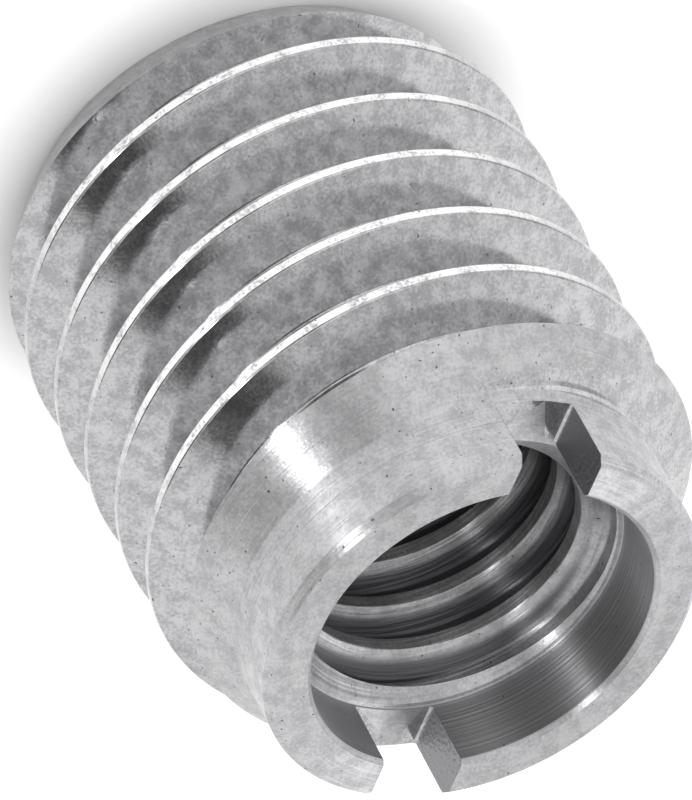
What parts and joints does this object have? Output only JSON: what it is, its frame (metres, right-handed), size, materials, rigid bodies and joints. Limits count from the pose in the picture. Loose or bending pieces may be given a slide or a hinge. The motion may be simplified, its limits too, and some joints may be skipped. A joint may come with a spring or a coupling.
{
  "type": "thread adapter",
  "caption": "Slotted screw-in bush that reduces a coarse threaded socket to a finer threaded hole, with a plain neck at its slotted end.",
  "frame": {"origin": "centre of the plain end face, on the axis of the bore", "axes": "+Z along the bore towards the slotted neck, +X along the driver slot, +Y across it"},
  "size_m": [0.0126, 0.0126, 0.0151],
  "materials": {
    "steel": "bright plated steel, as turned, with fine machining marks"
  },
  "bodies": {
    "root": {"adapter_bush": "steel"}
  },
  "joints": []
}
